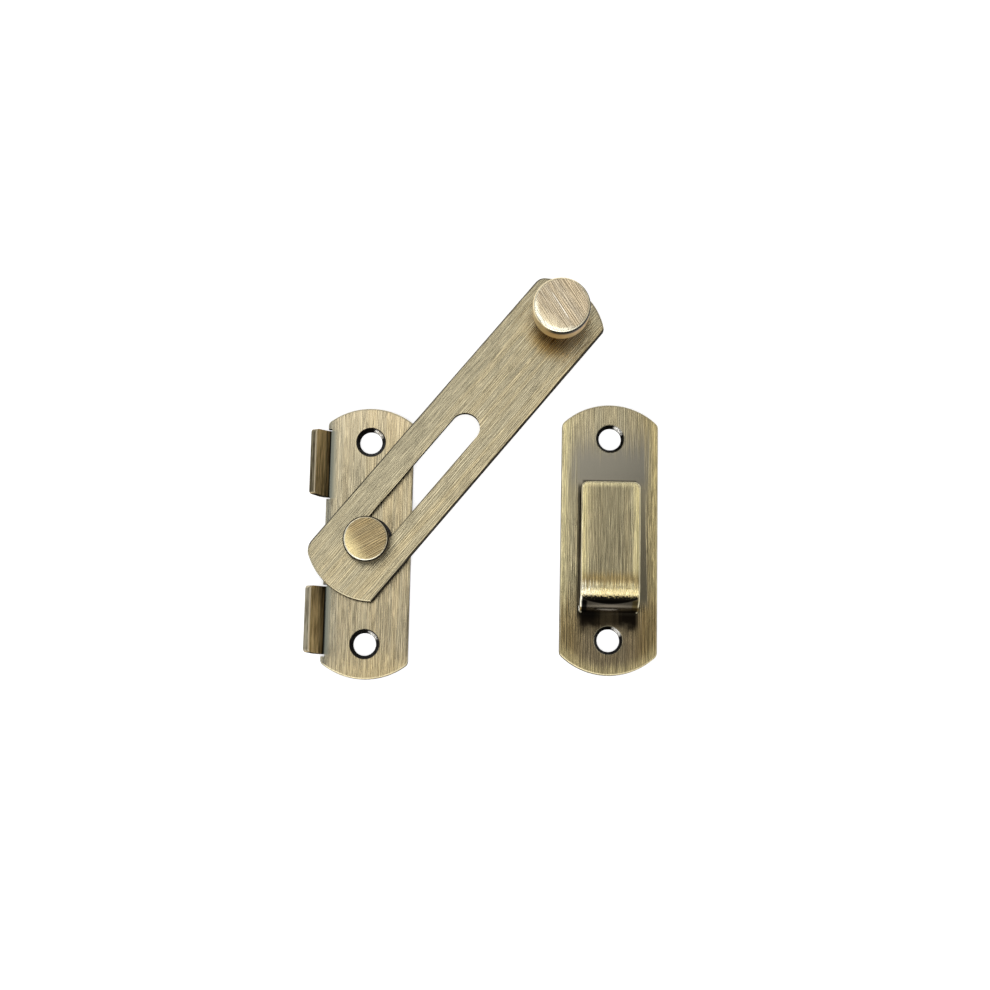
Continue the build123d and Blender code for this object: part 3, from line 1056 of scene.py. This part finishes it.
@dataclass
class Studio:
    """Floor, lights and the camera that looks down on the two plates.

    focal and frame are in pixels of the photograph, tilt and roll in degrees.
    """

    distance: float = 0.420
    focal: float = 1622.6
    frame: float = 990.0
    sensor: float = 36.0
    clip: float = 0.01
    tilt: float = 9.117
    roll: float = 1.172
    aim: tuple[float, float] = (0.032391, 0.013210)
    floor_reach: float = 3.0
    floor_drop: float = 0.00005
    floor_tone: float = 0.80
    floor_roughness: float = 0.9
    floor_glow: float = 0.62
    horizon: float = 0.58
    zenith: float = 0.38
    zenith_from: float = 0.9
    lamps: tuple[Lamp, ...] = (
        Lamp("key", (-0.13, 0.24, 0.78), 0.48, 1.36),
        Lamp("fill", (-0.35, -0.50, 0.40), 0.50, 0.8),
        Lamp("front", (0.03, -0.38, 0.50), 0.60, 1.5),
    )

    def floor(self) -> None:
        """Lay the pale floor that the plates rest on."""
        mesh = bpy.data.meshes.new("floor")
        reach = self.floor_reach
        mesh.from_pydata(
            [(-reach, -reach, 0.0), (reach, -reach, 0.0), (reach, reach, 0.0), (-reach, reach, 0.0)],
            [], [(0, 1, 2, 3)])
        floor = bpy.data.objects.new("floor", mesh)
        bpy.context.scene.collection.objects.link(floor)
        paint = bpy.data.materials.new("pale_floor")
        paint.use_nodes = True
        shader = paint.node_tree.nodes["Principled BSDF"]
        shader.inputs["Base Color"].default_value = (self.floor_tone, self.floor_tone, self.floor_tone, 1.0)
        shader.inputs["Roughness"].default_value = self.floor_roughness
        shader.inputs["Emission Color"].default_value = (*WHITE, 1.0)
        shader.inputs["Emission Strength"].default_value = self.floor_glow
        mesh.materials.append(paint)
        floor.location.z = -self.floor_drop

    def sky(self) -> None:
        """Set the even sky, a little brighter at the horizon."""
        world = bpy.data.worlds.new("studio")
        world.use_nodes = True
        tree = world.node_tree
        background = tree.nodes["Background"]
        way = tree.nodes.new("ShaderNodeTexCoord")
        parts = tree.nodes.new("ShaderNodeSeparateXYZ")
        fade = tree.nodes.new("ShaderNodeMapRange")
        fade.interpolation_type = "SMOOTHSTEP"
        fade.inputs["From Max"].default_value = self.zenith_from
        fade.inputs["To Min"].default_value = self.horizon
        fade.inputs["To Max"].default_value = self.zenith
        tree.links.new(way.outputs["Generated"], parts.inputs[0])
        tree.links.new(parts.outputs[2], fade.inputs["Value"])
        tree.links.new(fade.outputs["Result"], background.inputs["Strength"])
        background.inputs["Color"].default_value = (*WHITE, 1.0)
        bpy.context.scene.world = world

    def hang(self, lamp: Lamp) -> None:
        """Hang one lamp.

        Args:
            lamp: The lamp.
        """
        light = bpy.data.lights.new(lamp.name, "AREA")
        light.shape = "SQUARE"
        light.size = lamp.size
        light.energy = lamp.power
        holder = bpy.data.objects.new(lamp.name, light)
        holder.location = lamp.place
        aim = Vector((*self.aim, 0.0)) - Vector(lamp.place)
        holder.rotation_euler = aim.to_track_quat("-Z", "Y").to_euler()
        bpy.context.scene.collection.objects.link(holder)

    def camera(self) -> None:
        """Stand the camera where the photograph was taken from."""
        turn = Matrix.Rotation(math.radians(self.roll), 3, "Z")
        tilt = math.radians(self.tilt)
        right = turn @ Vector((1.0, 0.0, 0.0))
        up = turn @ Vector((0.0, math.cos(tilt), math.sin(tilt)))
        back = turn @ Vector((0.0, -math.sin(tilt), math.cos(tilt)))
        lens = bpy.data.cameras.new("camera")
        lens.sensor_fit = "HORIZONTAL"
        lens.sensor_width = self.sensor
        lens.lens = self.focal / self.frame * self.sensor
        lens.clip_start = self.clip
        holder = bpy.data.objects.new("camera", lens)
        place = Vector((*self.aim, 0.0)) + back * self.distance
        basis = Matrix((right, up, back)).transposed().to_4x4()
        holder.matrix_world = Matrix.Translation(place) @ basis
        bpy.context.scene.collection.objects.link(holder)
        bpy.context.scene.camera = holder

    def build(self) -> None:
        """Build floor, sky, lamps and camera, and keep colours as they are."""
        self.floor()
        self.sky()
        for lamp in self.lamps:
            self.hang(lamp)
        self.camera()
        bpy.context.scene.view_settings.view_transform = "Standard"


def button() -> TurnedPiece:
    """Return the thick button on the stud, gold with painted shade on its side."""
    bands = (
        (0.0, srgb(12, 10, 7)), (0.30, srgb(26, 22, 15)), (0.50, srgb(104, 94, 74)), (0.64, srgb(88, 79, 60)),
        (0.78, srgb(10, 8, 6)), (1.0, srgb(14, 11, 8)))
    return TurnedPiece(
        "pivot_stud", Brushing(Grain.ACROSS_BUTTON, srgb(176, 158, 121), srgb(98, 86, 64)), ORIGIN,
        radius=0.00585, heights=(0.00425, 0.00890), bands=bands,
        lit=Tint(srgb(228, 210, 156), 0.8), pale=Tint(srgb(30, 25, 16), 0.9), rim_from=0.80, crescent=0.86)


def knob(place: Point) -> TurnedPiece:
    """Return the bar's knob, pale with painted light and shade on its side and one long scratch.

    Args:
        place: The knob's axis on the bar.

    Returns:
        The knob's finish.
    """
    bands = (
        (0.0, srgb(178, 146, 92)), (0.30, srgb(234, 206, 158)), (0.66, srgb(222, 190, 144)), (0.88, srgb(26, 20, 13)),
        (1.0, srgb(14, 11, 8)))
    return TurnedPiece(
        "arm_knob", Brushing(Grain.ACROSS_KNOB, srgb(224, 209, 184), srgb(140, 127, 106)), place,
        radius=0.00735, heights=(0.0095, 0.0158), bands=bands,
        lit=Tint(srgb(240, 226, 192), 0.8), pale=Tint(srgb(236, 216, 172), 0.9), lit_from=232.0, lit_reach=0.3,
        scratch=-0.0004, rim_from=0.72, crescent=0.78, pale_from=150.0, pale_reach=-0.25)


def dress(frame: dict, piece: SheetPiece | TurnedPiece | PlainWasher) -> None:
    """Give a node its finish.

    Args:
        frame: The loaded frame.
        piece: The piece that knows the node's name and material.
    """
    mesh = frame["nodes"][piece.node].data
    material = piece.material()
    if mesh.materials:
        mesh.materials[0] = material
    else:
        mesh.materials.append(material)
    LOG.info("dressed %s with %s", piece.node, material.name)


def main() -> None:
    """Load the frame, dress every piece and set the studio."""
    logging.basicConfig(level=logging.INFO, format="%(name)s: %(message)s")
    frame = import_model()
    plate = Brushing(Grain.ALONG_PLATES, srgb(202, 189, 159), srgb(150, 140, 115))
    bar = Brushing(Grain.ALONG_BAR, srgb(204, 193, 163), srgb(130, 121, 98))
    strike = Brushing(Grain.ALONG_PLATES, srgb(210, 200, 165), srgb(118, 109, 85))
    angle = math.radians(Grain.ALONG_BAR.value)
    knob_place = (KNOB_DISTANCE * math.cos(angle), KNOB_DISTANCE * math.sin(angle), 0.0)
    for piece in (
        BasePlate("base_plate", plate),
        LatchArm("latch_arm", bar, knob=knob_place),
        StrikePlate("strike_plate", strike, STRIKE_CENTRE),
        Hook("strike_hook", strike, STRIKE_CENTRE),
        button(),
        knob(knob_place),
        PlainWasher(),
    ):
        dress(frame, piece)
    Studio().build()


if __name__ == "__main__":
    main()
